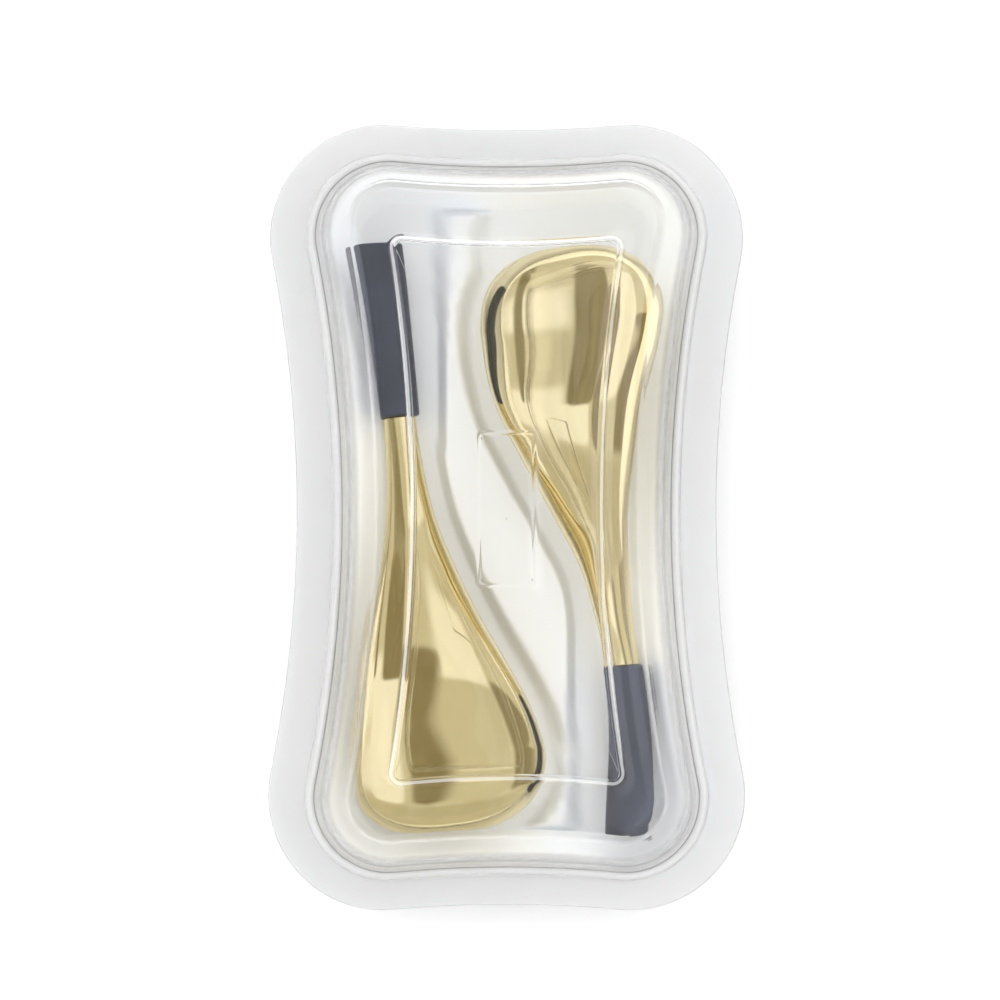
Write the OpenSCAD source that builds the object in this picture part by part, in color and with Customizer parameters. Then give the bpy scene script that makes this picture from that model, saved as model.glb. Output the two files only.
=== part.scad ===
// Cased pair of facial cold-massage tools.
// Frame: +Z up, the case lies flat, +Y runs along the case, origin under the middle of the case.
// Each tool is drawn in its own frame: X from the grip's end to the head's tip, Y sideways towards
// the fuller side of the head, Z out of the face of the head.

/* [Massage tool] */
// Length from the grip's end to the tip of the head
tool_l = 173; // [150:1:208]
// Width of the head
head_w = 57; // [47.5:0.1:68.5]
// Thickness of the head
head_t = 30; // [25:1:34]
// Outer diameter of the neck where it meets the grip
neck_d = 10.6; // [8.8:0.1:13]
// Wall of the pressed metal shells
shell_t = 0.8; // [0.6:0.02:1]
// How far the handle bows below the straight line from end to tip
bow = 10.5; // [8:0.5:12.5]
// How far the head leans over to its fuller side
lean = 4.8; // [3:0.1:6]

/* [Grip] */
// Length of the rubber grip
grip_l = 50; // [42:1:60]
// Wall of the grip over the tang, where it meets the neck
grip_wall = 2.2; // [1.6:0.1:3]
// Wall of the grip at its free end, on its flat sides
grip_end_wall = 1.1; // [0.9:0.1:2]
// Wall of the grip at its free end, on its narrow sides
grip_end_side = 4.3; // [3:0.1:6]
// How far the flattened end of the grip is turned about the handle, in degrees
grip_twist = 32; // [0:1:36]
// Clearance between the tang and the inside of the neck
tang_gap = 0.4; // [0.2:0.1:0.8]
// Length of the end plug in the grip
plug_l = 9; // [6:0.5:12]

/* [Case] */
// Free length on the floor beyond one tool's length
end_room = 14; // [10:1:20]
// Free width on the floor beyond one head and one grip
side_room = 17.6; // [14:0.2:22]
// How far each long side curves in at the waist
waist = 8; // [5:0.5:10]
// How far each end curves in at its middle
dent = 1.6; // [0.6:0.2:2.4]
// Radius of the four corners of the flange
corner_r = 33; // [30:1:38]
// Thickness of the moulded plastic sheet
sheet = 1; // [0.8:0.1:1.2]
// Height of the flange's upper face above the table
flange_z = 22; // [20:0.1:26.5]
// Width of the flat flange outside the snap bead
flange_w = 10.6; // [9:0.2:12]
// Height of the snap bead
bead_h = 1.2; // [0.8:0.1:1.6]
// Free height between the taller tool and the lid
lid_room = 1.2; // [0.6:0.1:4]
// Height of the raised panel on the lid
panel_h = 2; // [1.2:0.1:2.4]
// Length of the raised panel
panel_l = 155; // [140:1:170]
// Width of the raised panel at its ends
panel_w = 65; // [58:1:76]
// How far each long side of the raised panel curves in
panel_waist = 6; // [3:0.5:8]
// Length of the plain plaque in the middle of the panel
plaque_l = 44; // [30:0.5:60]
// Width of the plain plaque
plaque_w = 16.2; // [10:0.2:24]
// Height of the land that parts the two pockets
land_h = 7; // [5:0.5:9]
// Clearance between a tool and the land beside it
pocket_gap = 5; // [3:0.5:6]
// Distance between the two finger rooms beside the grips
rooms_apart = 38.6; // [30:0.2:44]
// How far each finger room stays from the middle of the case
room_from = 21.8; // [10:0.2:40]
// How far each head's pocket reaches past the middle line of the case
head_room = 8.3; // [4:0.1:12]

/* [Hidden] */

gold = "#cdb878";
silver = "#c9ccd0";
slate = "#4b5061";
clear = [0.88, 0.90, 0.92, 0.45];
frosted = [0.93, 0.94, 0.95, 0.9];
gel_blue = "#9fc4d8";
black = "#202226";
$fn = 32;

fit = 0.1;           // gap between pieces that sit inside one another
gel_gap = 0.3;       // gap between the gel and the shells
rest_gap = 0.1;      // gap under a piece that rests on the tray
neck_r = neck_d / 2;
tang_r = neck_r - shell_t - tang_gap;
bore_r = tang_r + fit;              // bore of the grip
grip_d = 2 * (bore_r + grip_wall);  // grip's diameter at the neck
grip_end_w = 2 * (bore_r + grip_end_side);
grip_end_t = 2 * (bore_r + grip_end_wall);
blade_l = tool_l - grip_l;

// How the blade widens and thickens: [share of its length, share of the way from neck to head].
WIDTH = [[0, 0], [0.12, 0.015], [0.25, 0.10], [0.37, 0.27], [0.5, 0.5], [0.63, 0.735],
    [0.74, 0.92], [0.82, 1]];
DEPTH = [[0, 0], [0.12, 0.01], [0.25, 0.09], [0.37, 0.30], [0.5, 0.64], [0.63, 0.93],
    [0.74, 1], [0.82, 1]];
// How the centre line wanders, as shares of the lean and the bow against the share of the length.
LEAN = [[0, 0], [0.1, 0.12], [0.3, 0.27], [0.5, 0.3], [0.64, 0.4], [0.78, 0.9], [0.88, 1], [1, 0.75]];
BOW = [[0, 0], [0.07, -0.42], [0.14, -0.82], [0.21, -1], [0.27, -1], [0.36, -0.66], [0.46, -0.36],
    [0.55, 0.14], [0.65, 0.46], [0.74, 0.42], [0.87, -0.18], [1, -0.17]];
round_from = 0.82;   // share of the blade where the round end starts
round_power = 2.45;   // fullness of the round end
section_power = 2.5; // fullness of the cross-sections
around = 24;         // points round a whole section
around_sweep = 360 - 360 / around;

function secant(tab, i, j) = (tab[j][1] - tab[i][1]) / (tab[j][0] - tab[i][0]);
function slope(tab, i) = secant(tab, max(i - 1, 0), min(i + 1, len(tab) - 1));
function span(tab, x) = max([for (i = [0 : len(tab) - 2]) if (i == 0 || x >= tab[i][0]) i]);
// A smooth curve through the points of a table.
function curve(tab, x) =
    let (i = span(tab, x), h = tab[i + 1][0] - tab[i][0], t = (x - tab[i][0]) / h)
    (2 * t^3 - 3 * t^2 + 1) * tab[i][1] + (t^3 - 2 * t^2 + t) * h * slope(tab, i)
    + (3 * t^2 - 2 * t^3) * tab[i + 1][1] + (t^3 - t^2) * h * slope(tab, i + 1);

function centre(s) = [s, lean * curve(LEAN, s / tool_l), bow * curve(BOW, s / tool_l)];
function blade_share(s) = (s - grip_l) / blade_l;
function end_factor(t) =
    t <= round_from ? 1 : pow(1 - pow((t - round_from) / (1 - round_from), round_power), 1 / round_power);
function blade_size(tab, full, s) =
    let (t = blade_share(s))
    (neck_r + (full / 2 - neck_r) * curve(tab, min(t, round_from))) * end_factor(t);
function signed_pow(v, p) = sign(v) * pow(abs(v), p);
// One cross-section, from angle a0 over sweep, with half width w and half thickness d.
function section(c, w, d, a0, sweep, n) = [for (i = [0 : n])
    let (a = a0 + sweep * i / n)
    c + [0, w * signed_pow(cos(a), 2 / section_power), d * signed_pow(sin(a), 2 / section_power)]];
function blade_section(s, inset, a0, sweep, n) =
    section(centre(s), blade_size(WIDTH, head_w, s) - inset, blade_size(DEPTH, head_t, s) - inset,
        a0, sweep, n);

body_steps = 12;
round_steps = 6;
last_angle = 86;     // how far round the end the last station lies, in degrees
// Stations along the blade, closer together over the round end.
function stations(from) = concat(
    [for (i = [0 : body_steps]) from + (grip_l + blade_l * round_from - from) * i / body_steps],
    [for (i = [1 : round_steps]) grip_l + blade_l * (round_from + (1 - round_from) * sin(last_angle * i / round_steps))]);
// The inner surface stops one wall short of the tip.
function inner_section(s, from, inset, a0, sweep, n) =
    let (k = (tool_l - from - inset) / (tool_l - from), si = from + (s - from) * k,
        w = blade_size(WIDTH, head_w, s), d = blade_size(DEPTH, head_t, s),
        shrink_w = 1 - inset / blade_size(WIDTH, head_w, min(s, grip_l + blade_l * round_from)),
        shrink_d = 1 - inset / blade_size(DEPTH, head_t, min(s, grip_l + blade_l * round_from)))
    section(centre(si), w * shrink_w, d * shrink_d, a0, sweep, n);

function flat(rows) = [for (r = rows) for (p = r) p];
function quad(a, b, c, d) = [[a, b, c], [a, c, d]];

// Solid through closed rings, with a point that closes each end.
module ring_solid(rings, start, end) {
    n = len(rings[0]);
    m = len(rings);
    points = concat(flat(rings), [start, end]);
    sides = [for (r = [0 : m - 2]) for (k = [0 : n - 1]) let (j = (k + 1) % n)
        each quad(r * n + k, (r + 1) * n + k, (r + 1) * n + j, r * n + j)];
    caps = [for (k = [0 : n - 1]) let (j = (k + 1) % n)
        each [[n * m, k, j], [n * m + 1, (m - 1) * n + j, (m - 1) * n + k]]];
    polyhedron(points, concat(sides, caps));
}

// Tube between outer and inner rings, open at both ends.
module ring_tube(outer, inner) {
    n = len(outer[0]);
    m = len(outer);
    o = n * m;
    sides = [for (r = [0 : m - 2]) for (k = [0 : n - 1]) let (j = (k + 1) % n)
        each concat(quad(r * n + k, (r + 1) * n + k, (r + 1) * n + j, r * n + j),
            quad(o + r * n + j, o + (r + 1) * n + j, o + (r + 1) * n + k, o + r * n + k))];
    ends = [for (k = [0 : n - 1]) let (j = (k + 1) % n, e = (m - 1) * n)
        each concat(quad(k, j, o + j, o + k), quad(e + j, e + k, o + e + k, o + e + j))];
    polyhedron(concat(flat(outer), flat(inner)), concat(sides, ends));
}

// Half shell between outer and inner half rings, closed at its tip by two points.
module half_shell(outer, outer_tip, inner, inner_tip) {
    n = len(outer[0]);
    m = len(outer);
    o = n * m;
    tip_o = 2 * o;
    tip_i = 2 * o + 1;
    e = (m - 1) * n;
    skins = [for (r = [0 : m - 2]) for (k = [0 : n - 2])
        each concat(quad(r * n + k, (r + 1) * n + k, (r + 1) * n + k + 1, r * n + k + 1),
            quad(o + r * n + k + 1, o + (r + 1) * n + k + 1, o + (r + 1) * n + k, o + r * n + k))];
    tips = [for (k = [0 : n - 2]) each [[e + k, tip_o, e + k + 1], [o + e + k + 1, tip_i, o + e + k]]];
    neck = [for (k = [0 : n - 2]) each quad(k, k + 1, o + k + 1, o + k)];
    rims = [for (r = [0 : m - 2])
        each concat(quad(r * n, o + r * n, o + (r + 1) * n, (r + 1) * n),
            quad(r * n + n - 1, (r + 1) * n + n - 1, o + (r + 1) * n + n - 1, o + r * n + n - 1))];
    rim_tips = concat(quad(e, o + e, tip_i, tip_o), quad(e + n - 1, tip_o, tip_i, o + e + n - 1));
    polyhedron(concat(flat(outer), flat(inner), [outer_tip, inner_tip]),
        concat(skins, tips, neck, rims, rim_tips));
}

// Case outline, from its full width and length, the curve of its sides and ends, and its corners.
side_points = 6;
corner_points = 9;
end_points = 3;
function quarter(w, l, r, in) =
    let (cx = w / 2 - r, cy = l / 2 - r,
        side_r = (cy^2 + in^2) / (2 * in) - r, side_a = asin(cy / (side_r + r)),
        end_r = (cx^2 + dent^2) / (2 * dent) - r, end_a = asin(cx / (end_r + r)))
    concat(
        [for (i = [0 : side_points - 1]) let (a = side_a * i / side_points)
            [w / 2 - in + side_r * (1 - cos(a)), side_r * sin(a)]],
        [for (i = [0 : corner_points]) let (a = (90 + side_a + end_a) * i / corner_points - side_a)
            [cx + r * cos(a), cy + r * sin(a)]],
        [for (i = [end_points - 1 : -1 : 0]) let (a = end_a * i / end_points)
            [end_r * sin(a), l / 2 - dent + end_r * (1 - cos(a))]]);
function flip(q, sx, sy) = [for (i = [len(q) - 1 : -1 : 1]) [sx * q[i][0], sy * q[i][1]]];
function outline(w, l, r, in) =
    let (q = quarter(w, l, r, in), n = len(q) - 1)
    concat([for (i = [0 : n - 1]) q[i]], flip(q, -1, 1), [for (i = [0 : n - 1]) -q[i]], flip(q, 1, -1));
function lift(path, z) = [for (p = path) [p[0], p[1], z]];

// Sizes of the case that follow from the tools and the named room round them.
side_inset = 25;     // from the edge of the flange to the floor, across the sides
end_inset = 20.5;    // from the edge of the flange to the floor, across the ends
corner_loss = 22;    // how much smaller the corners' radius is at the floor than at the flange
floor_w = head_w + grip_d + side_room;
floor_l = tool_l + end_room;
case_w = floor_w + 2 * side_inset;
case_l = floor_l + 2 * end_inset;
// Ring of the case at a share of the inset (0 at the edge, 1 at the floor) and at height z.
function case_path(k) =
    outline(case_w - 2 * k * side_inset, case_l - 2 * k * end_inset, corner_r - k * corner_loss, waist);
function case_ring(k, z) = lift(case_path(k), z);
function at(mm) = mm / side_inset;

bead_w = 2.4;
bead_mid = flange_w + bead_w / 2;
lip = flange_w + bead_w + 1.4;      // where the wall leaves the flange
wall_top = lip + 2;
toe_k = 0.94;        // share of the inset at the rounded foot of the wall

// Each tool lies askew, so that its grip's end and its head both come near the long wall.
function skew(reach) = atan((head_w / 2 - reach) / (tool_l - head_w / 2));
left_skew = skew(12.55);
right_skew = skew(15.6);
right_roll = -32;
right_pitch = 3.6;
// Place of each grip's end: how far it reaches over the foot of the side wall, and over the end one.
left_over = [3.3, -14.2];
right_over = [-0.1, 0.4];
// Places of the two tools in the tray: [x, y, heading, roll, pitch].
end_x = (floor_w - grip_end_w) / 2;
left_place = [-(end_x + left_over[0]), floor_l / 2 + left_over[1], left_skew - 90, 0, 0];
right_place = [end_x + right_over[0], -(floor_l / 2 + right_over[1]), right_skew + 90, right_roll, right_pitch];

tool_stations = concat([for (i = [0 : 6]) grip_l * i / 7], stations(grip_l));
function grip_share(s) = pow(min(s / grip_l, 1), 0.7);
function grip_size(s, end) = end + (grip_d - end) * grip_share(s);
// A section of the grip: flattened and turned at its free end, round at the neck.
function grip_section(s) =
    let (c = centre(s), turn = -grip_twist * (1 - grip_share(s)))
    [for (p = section(c, grip_size(s, grip_end_w) / 2, grip_size(s, grip_end_t) / 2, 0, around_sweep, around - 1))
        let (y = p[1] - c[1], z = p[2] - c[2])
        c + [0, y * cos(turn) - z * sin(turn), y * sin(turn) + z * cos(turn)]];
function tool_section(s) = s < grip_l ? grip_section(s) : blade_section(s, 0, 0, around_sweep, around - 1);
function placed(p, place) =
    let (u = p[1] * cos(place[3]) - p[2] * sin(place[3]),
        n = p[1] * sin(place[3]) + p[2] * cos(place[3]),
        s = p[0] * cos(place[4]) - n * sin(place[4]),
        z = p[0] * sin(place[4]) + n * cos(place[4]))
    [place[0] + s * cos(place[2]) - u * sin(place[2]), place[1] + s * sin(place[2]) + u * cos(place[2]), z];
function placed_tool(place) = [for (s = tool_stations) for (p = tool_section(s)) placed(p, place)];
left_points = placed_tool(left_place);
right_points = placed_tool(right_place);
function lowest(points) = min([for (p = points) p[2]]);
function highest(points) = max([for (p = points) p[2]]);
left_z = sheet + rest_gap - lowest(left_points);
right_z = sheet + rest_gap - lowest(right_points);
tools_top = max(left_z + highest(left_points), right_z + highest(right_points));
plateau_z = tools_top + lid_room + sheet;   // upper face of the lid's flat top
lid_z = flange_z + rest_gap;                // lower face of the lid's flange

module place_tool(place, z) {
    translate([place[0], place[1], z])
        rotate([0, 0, place[2]]) rotate([0, -place[4], 0]) rotate([place[3], 0, 0]) children();
}

// Plan of one tool, from the widest points of its sections.
function edge_point(s, place, side) =
    let (pts = [for (p = tool_section(s)) placed(p, place)], a = place[2] + 90,
        far = [for (p = pts) side * (p[0] * cos(a) + p[1] * sin(a))], i = search(max(far), far)[0])
    [pts[i][0], pts[i][1]];
function tool_plan(place) = concat(
    [for (s = tool_stations) edge_point(s, place, 1)],
    [for (i = [len(tool_stations) - 1 : -1 : 0]) edge_point(tool_stations[i], place, -1)]);

// Free floor of one tool's pocket: the tool's plan with its clearance, the finger room beside the
// grip, and the square end of the head's pocket.
room_end = 1;        // how far the finger room and the head's pocket stay from the floor's end
room_round = 8;
module pocket_2d(place, side) {
    offset(r = pocket_gap) polygon(tool_plan(place));
    room_w = (floor_w - rooms_apart) / 2;
    room_l = floor_l / 2 - room_from - room_end;
    translate([side * (rooms_apart + room_w) / 2, -side * (room_from + room_l / 2)])
        square([room_w, room_l], center = true);
    head_l = head_w * 0.7;
    head_room_w = floor_w / 2 + head_room;
    translate([side * (head_room_w / 2 - head_room), side * (floor_l / 2 - room_end - head_l / 2)])
        offset(r = room_round) square([head_room_w, head_l] - [1, 1] * 2 * room_round, center = true);
}

land_round = 2;
module land_2d(inset) {
    offset(r = -inset) offset(r = land_round) offset(r = -land_round) difference() {
        polygon(case_path(1));
        pocket_2d(left_place, -1);
        pocket_2d(right_place, 1);
    }
}

// Snap bead, as rings across its width at height z.
function bead_rings(mid, w, h, z) = [
    case_ring(at(mid + w / 2), z),
    case_ring(at(mid + w / 4), z + h),
    case_ring(at(mid - w / 4), z + h),
    case_ring(at(mid - w / 2), z)];
function reversed(v) = [for (i = [len(v) - 1 : -1 : 0]) v[i]];

module case_tray() color(frosted) {
    toe = 1.4;           // height of the rounded foot of the wall
    foot_k = 1.04;       // share of the inset where the foot runs into the floor
    knee_k = 0.79;       // share of the inset, and height, where the wall turns steeper
    knee_z = 7;
    shoulder = 3;        // height of the wall's rounded top
    low = flange_z - sheet;
    upper = concat(
        [case_ring(foot_k, sheet), case_ring(toe_k, sheet + toe), case_ring(knee_k, knee_z + sheet / 2),
            case_ring(at(wall_top), flange_z - shoulder), case_ring(at(lip), flange_z)],
        bead_rings(bead_mid, bead_w, bead_h, flange_z), [case_ring(0, flange_z)]);
    lower = concat(
        [case_ring(0, low)], reversed(bead_rings(bead_mid, bead_w - sheet, bead_h, low)),
        [case_ring(at(lip - sheet), low), case_ring(at(wall_top - sheet), low - shoulder),
            case_ring(knee_k - at(sheet), knee_z - sheet / 2), case_ring(toe_k - at(sheet), toe - sheet / 2),
            case_ring(1, 0)]);
    difference() {
        union() {
            ring_solid(reversed(concat(upper, lower)), [0, 0, 0], [0, 0, sheet]);
            translate([0, 0, sheet / 2]) linear_extrude(land_h - sheet / 2) land_2d(0);
        }
        translate([0, 0, -1]) linear_extrude(land_h - sheet + 1) land_2d(sheet);
    }
}

shoulder_h = 12;     // height of the steep part of the lid's wall above its flange
top_k = 1.06;        // share of the inset where the flat top starts
top_drop = 1.6;      // height of the rounded edge of the flat top
panel_slope = 1.4;   // run of the sloped edge of the raised panel
panel_edge = [0.6, 0.5];            // width and height of its rounded upper edge
panel_r = 2.6;
plaque_h = 0.6;
plaque_r = 1.5;
bead_room = 0.6;     // how much wider the lid's bead is inside than the tray's bead
function panel_ring(grow, z) =
    lift(outline(panel_w + 2 * grow, panel_l + 2 * grow, panel_r + grow, panel_waist), z);
// Rings of one face of the raised panel, whose flat top is at height z.
function panel_rings(z) = [panel_ring(-panel_edge[0], z), panel_ring(0, z - panel_edge[1]),
    panel_ring(panel_slope, z - panel_h)];

module case_lid() color(clear) {
    flange_top = lid_z + sheet;
    panel_top = plateau_z + panel_h;
    shoulder_z = lid_z + shoulder_h;
    upper = concat(
        panel_rings(panel_top),
        [case_ring(top_k, plateau_z), case_ring(toe_k, plateau_z - top_drop),
            case_ring(at(wall_top), shoulder_z), case_ring(at(lip), flange_top)],
        bead_rings(bead_mid, bead_w, bead_h, flange_top), [case_ring(0, flange_top)]);
    lower = concat(
        [case_ring(0, lid_z)], reversed(bead_rings(bead_mid, bead_w + bead_room, bead_h, lid_z)),
        [case_ring(at(lip + sheet), lid_z), case_ring(at(wall_top + sheet), shoulder_z - 0.4 * sheet),
            case_ring(toe_k + at(sheet), plateau_z - top_drop - sheet), case_ring(top_k, plateau_z - sheet)],
        reversed(panel_rings(panel_top - sheet)));
    ring_solid(reversed(concat(upper, lower)), [0, 0, panel_top - sheet], [0, 0, panel_top]);
    translate([0, 0, panel_top - sheet / 2]) linear_extrude(sheet / 2 + plaque_h)
        offset(r = plaque_r) square([plaque_w, plaque_l] - [1, 1] * 2 * plaque_r, center = true);
}

joint_gap = 0.2;     // between the grip and the shells
shell_from = grip_l + joint_gap;
function half(a0) = [for (s = stations(shell_from)) blade_section(s, 0, a0, 180, around / 2)];
function half_inner(a0) =
    [for (s = stations(shell_from)) inner_section(s, shell_from, shell_t, a0, 180, around / 2)];
module shell(a0) {
    half_shell(half(a0), centre(tool_l), half_inner(a0), centre(tool_l) - [shell_t, 0, 0]);
}
module face_shell() color(gold) shell(0);
module back_shell() color(gold) shell(180);

inner_gap = 1.5;     // between the pieces that lie one after another inside the neck
tang_reach = 12;     // how far the tang reaches into the neck
tang_from = plug_l + 1;
tang_to = grip_l + tang_reach;
plug_from = tang_to + inner_gap;
fill_plug_l = 6;
coolant_from = plug_from + fill_plug_l + inner_gap;
ring_d = 0.9;        // thickness of the seal ring

function round_ring(s, r) = [for (i = [0 : around - 1]) let (a = 360 * i / around)
    centre(s) + [0, r * cos(a), r * sin(a)]];
function middle(ring) = (ring[0] + ring[around / 2]) / 2;
module coolant() color(gel_blue) {
    inset = shell_t + gel_gap;
    rings = [for (s = stations(shell_from)) if (s > coolant_from)
        inner_section(s, shell_from, inset, 0, around_sweep, around - 1)];
    ring_solid(rings, middle(rings[0]), centre(tool_l) - [inset, 0, 0]);
}

module along(s) {
    ahead = centre(s + 1) - centre(s - 1);
    translate(centre(s)) rotate([0, -atan2(ahead[2], ahead[0]), atan2(ahead[1], ahead[0])])
        rotate([0, 90, 0]) children();
}
plug_r = neck_r - shell_t - ring_d / 2 - 0.15;   // the ring stands proud of the plug, clear of the neck
module fill_plug() color(black) along(plug_from + fill_plug_l / 2) difference() {
    cylinder(r = plug_r, h = fill_plug_l, center = true);
    difference() {
        cylinder(r = plug_r + 1, h = ring_d + fit, center = true);
        cylinder(r = plug_r - ring_d / 2, h = ring_d + 1, center = true);
    }
}
module seal_ring() color("#8a3b32") along(plug_from + fill_plug_l / 2)
    rotate_extrude() translate([plug_r + fit / 2, 0]) circle(d = ring_d - fit);

module tang() color(silver) {
    steps = 9;
    ss = [for (i = [0 : steps]) tang_from + (tang_to - tang_from) * i / steps];
    ring_solid([for (s = ss) round_ring(s, tang_r)], centre(tang_from), centre(tang_to));
}

module grip() color(slate) {
    steps = 9;
    ss = [for (i = [0 : steps]) grip_l * i / steps];
    ring_tube([for (s = ss) grip_section(s)],
        [for (s = ss) round_ring(s, bore_r)]);
}

module end_plug() color(slate) {
    steps = 3;
    recess = 0.3;
    ss = [for (i = [0 : steps]) recess + (plug_l - recess) * i / steps];
    ring_solid([for (s = ss) round_ring(s, bore_r - 2 * fit)], centre(recess), centre(plug_l));
}

module left_tool() place_tool(left_place, left_z) children();
module right_tool() place_tool(right_place, right_z) children();
module left_face_shell() left_tool() face_shell();
module left_back_shell() left_tool() back_shell();
module left_coolant() left_tool() coolant();
module left_fill_plug() left_tool() fill_plug();
module left_seal_ring() left_tool() seal_ring();
module left_tang() left_tool() tang();
module left_grip() left_tool() grip();
module left_end_plug() left_tool() end_plug();
module right_face_shell() right_tool() face_shell();
module right_back_shell() right_tool() back_shell();
module right_coolant() right_tool() coolant();
module right_fill_plug() right_tool() fill_plug();
module right_seal_ring() right_tool() seal_ring();
module right_tang() right_tool() tang();
module right_grip() right_tool() grip();
module right_end_plug() right_tool() end_plug();

case_tray();
case_lid();
left_face_shell();
left_back_shell();
left_coolant();
left_fill_plug();
left_seal_ring();
left_tang();
left_grip();
left_end_plug();
right_face_shell();
right_back_shell();
right_coolant();
right_fill_plug();
right_seal_ring();
right_tang();
right_grip();
right_end_plug();
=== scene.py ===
"""Looks for the cased pair of facial cold-massage tools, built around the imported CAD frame."""
import math

import bpy
import numpy as np
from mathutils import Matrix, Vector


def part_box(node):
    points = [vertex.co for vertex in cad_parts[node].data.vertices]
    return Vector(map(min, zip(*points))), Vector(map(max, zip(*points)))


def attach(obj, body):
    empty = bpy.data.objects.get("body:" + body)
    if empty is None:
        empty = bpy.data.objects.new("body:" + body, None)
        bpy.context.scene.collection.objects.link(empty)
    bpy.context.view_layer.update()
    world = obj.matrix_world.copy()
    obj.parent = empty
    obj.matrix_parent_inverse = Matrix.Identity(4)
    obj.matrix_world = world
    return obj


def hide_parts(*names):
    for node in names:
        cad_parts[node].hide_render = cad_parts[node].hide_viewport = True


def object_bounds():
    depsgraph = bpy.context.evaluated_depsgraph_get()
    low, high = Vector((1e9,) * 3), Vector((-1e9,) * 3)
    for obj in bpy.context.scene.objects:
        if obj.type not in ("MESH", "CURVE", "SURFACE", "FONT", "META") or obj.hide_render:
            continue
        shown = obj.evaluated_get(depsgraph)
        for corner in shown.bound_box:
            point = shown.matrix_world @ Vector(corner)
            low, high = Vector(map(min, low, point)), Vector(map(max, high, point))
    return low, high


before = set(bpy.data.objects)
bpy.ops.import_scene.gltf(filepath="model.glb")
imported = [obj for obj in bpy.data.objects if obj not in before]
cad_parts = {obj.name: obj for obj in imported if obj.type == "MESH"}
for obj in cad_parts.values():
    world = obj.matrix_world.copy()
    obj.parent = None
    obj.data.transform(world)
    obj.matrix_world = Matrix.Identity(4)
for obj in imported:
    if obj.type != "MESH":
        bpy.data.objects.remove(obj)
cad_low, cad_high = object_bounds()
MM = 0.001

# ---------------------------------------------------------------- sizes, in millimetres
# Those that the frame gives are read from it; the others repeat the design's named values.
tray_low, tray_high = [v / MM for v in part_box("case_tray")]
lid_low, lid_high = [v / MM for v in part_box("case_lid")]
CASE_W, CASE_L = tray_high[0] - tray_low[0], tray_high[1] - tray_low[1]
WAIST, DENT, CORNER_R = 8.0, 1.6, 33.0
SIDE_INSET, END_INSET, CORNER_LOSS = 25.0, 20.5, 22.0
SHEET = 1.0
KNEE, TOE = 0.79, 0.94             # where the wall turns out and meets the floor, as shares of the inset
LIP_W, LIP_H, LIP_R = 0.45, 0.35, 0.4     # rounding of the flange's edge
BEAD_H, BEAD_W, FLANGE_W = 1.2, 2.4, 10.6
FLANGE_Z = tray_high[2] - BEAD_H
LID_Z = lid_low[2]
LAND_H, LAND_WALL, POCKET_GAP = 7.0, 3.0, 5.0
ROOMS_APART, ROOM_FROM, ROOM_END, ROOM_ROUND = 38.6, 21.8, 1.0, 8.0
HEAD_ROOM, HEAD_ROOM_SHARE = 8.3, 0.7
PANEL_H, PANEL_L, PANEL_W, PANEL_WAIST, PANEL_R = 2.0, 155.0, 65.0, 6.0, 2.6
PANEL_SLOPE = 1.4
SHOULDER_H = 12.0                  # height of the lid's wall above its flange
PLAQUE_L, PLAQUE_W, PLAQUE_R, PLAQUE_H = 44.0, 16.2, 1.5, 0.6
PLATEAU_Z = lid_high[2] - PLAQUE_H - PANEL_H
PAINTED_LIGHT_LOW_Z, PAINTED_LIGHT_HIGH_Z = 12.0, 21.2   # heights between which the tray's painted tone changes: its floor is painted lighter and its flange darker, painted light and shade in one plastic
PLASTIC_IOR = 1.49

TOOL_L, GRIP_L = 173.0, 50.0
HEAD_W, HEAD_T, NECK_D = 57.0, 30.0, 10.6
BOW_MM, LEAN_MM = 10.5, 4.8
GRIP_D, GRIP_END_W, GRIP_END_T, GRIP_TWIST = 12.8, 17.0, 10.6, 32.0
GRIP_FADE = 0.7                    # how soon the grip's end section turns into its round one
GRIP_EDGE = 0.9                    # rounding of the grip's two ends
BORE_R, SHELL_T, PLUG_L, PLUG_R = 4.2, 0.8, 9.0, 4.0
SEAM = 0.3                         # how far the neck reaches into the grip
ROUND_FROM, ROUND_POWER, SECTION_POWER = 0.82, 2.45, 2.5
FLOOR_W = CASE_W - 2 * SIDE_INSET
FLOOR_L = CASE_L - 2 * END_INSET
FLOOR_D = SIDE_INSET + 1           # distance in from the edge at which the tray's floor begins
INMOST = SIDE_INSET + 1.5          # innermost of the case outlines
END_X = (FLOOR_W - GRIP_END_W) / 2


def skew(reach):
    """How far a tool lies askew in the case, in degrees."""
    return math.degrees(math.atan((HEAD_W / 2 - reach) / (TOOL_L - HEAD_W / 2)))


# x, y of the grip's end, heading, roll and pitch of each tool, as in the design
PLACES = {
    "left": (-(END_X + 3.3), FLOOR_L / 2 - 14.2, skew(12.55) - 90, 0.0, 0.0),
    "right": (END_X - 0.1, -(FLOOR_L / 2 + 0.4), skew(15.6) + 90, -32.0, 3.6),
}


# ---------------------------------------------------------------- mesh helpers
def mesh_object(name, points, faces, smooth=True):
    """A mesh object from points in millimetres."""
    mesh = bpy.data.meshes.new(name)
    mesh.from_pydata((np.asarray(points) * MM).tolist(), [], faces)
    mesh.validate()
    if smooth:
        mesh.shade_smooth()
    obj = bpy.data.objects.new(name, mesh)
    bpy.context.scene.collection.objects.link(obj)
    return obj


def loft(rings, start=None, end=None):
    """Points and faces of a skin through closed rings, with an optional point that closes each end."""
    rings = np.asarray(rings)
    m, n = rings.shape[:2]
    points = list(rings.reshape(-1, 3))
    faces = []
    for r in range(m - 1):
        for k in range(n):
            j = (k + 1) % n
            faces.append((r * n + k, r * n + j, (r + 1) * n + j, (r + 1) * n + k))
    if start is not None:
        points.append(np.asarray(start))
        faces += [(len(points) - 1, (k + 1) % n, k) for k in range(n)]
    if end is not None:
        points.append(np.asarray(end))
        base = (m - 1) * n
        faces += [(len(points) - 1, base + k, base + (k + 1) % n) for k in range(n)]
    return points, faces


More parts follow.
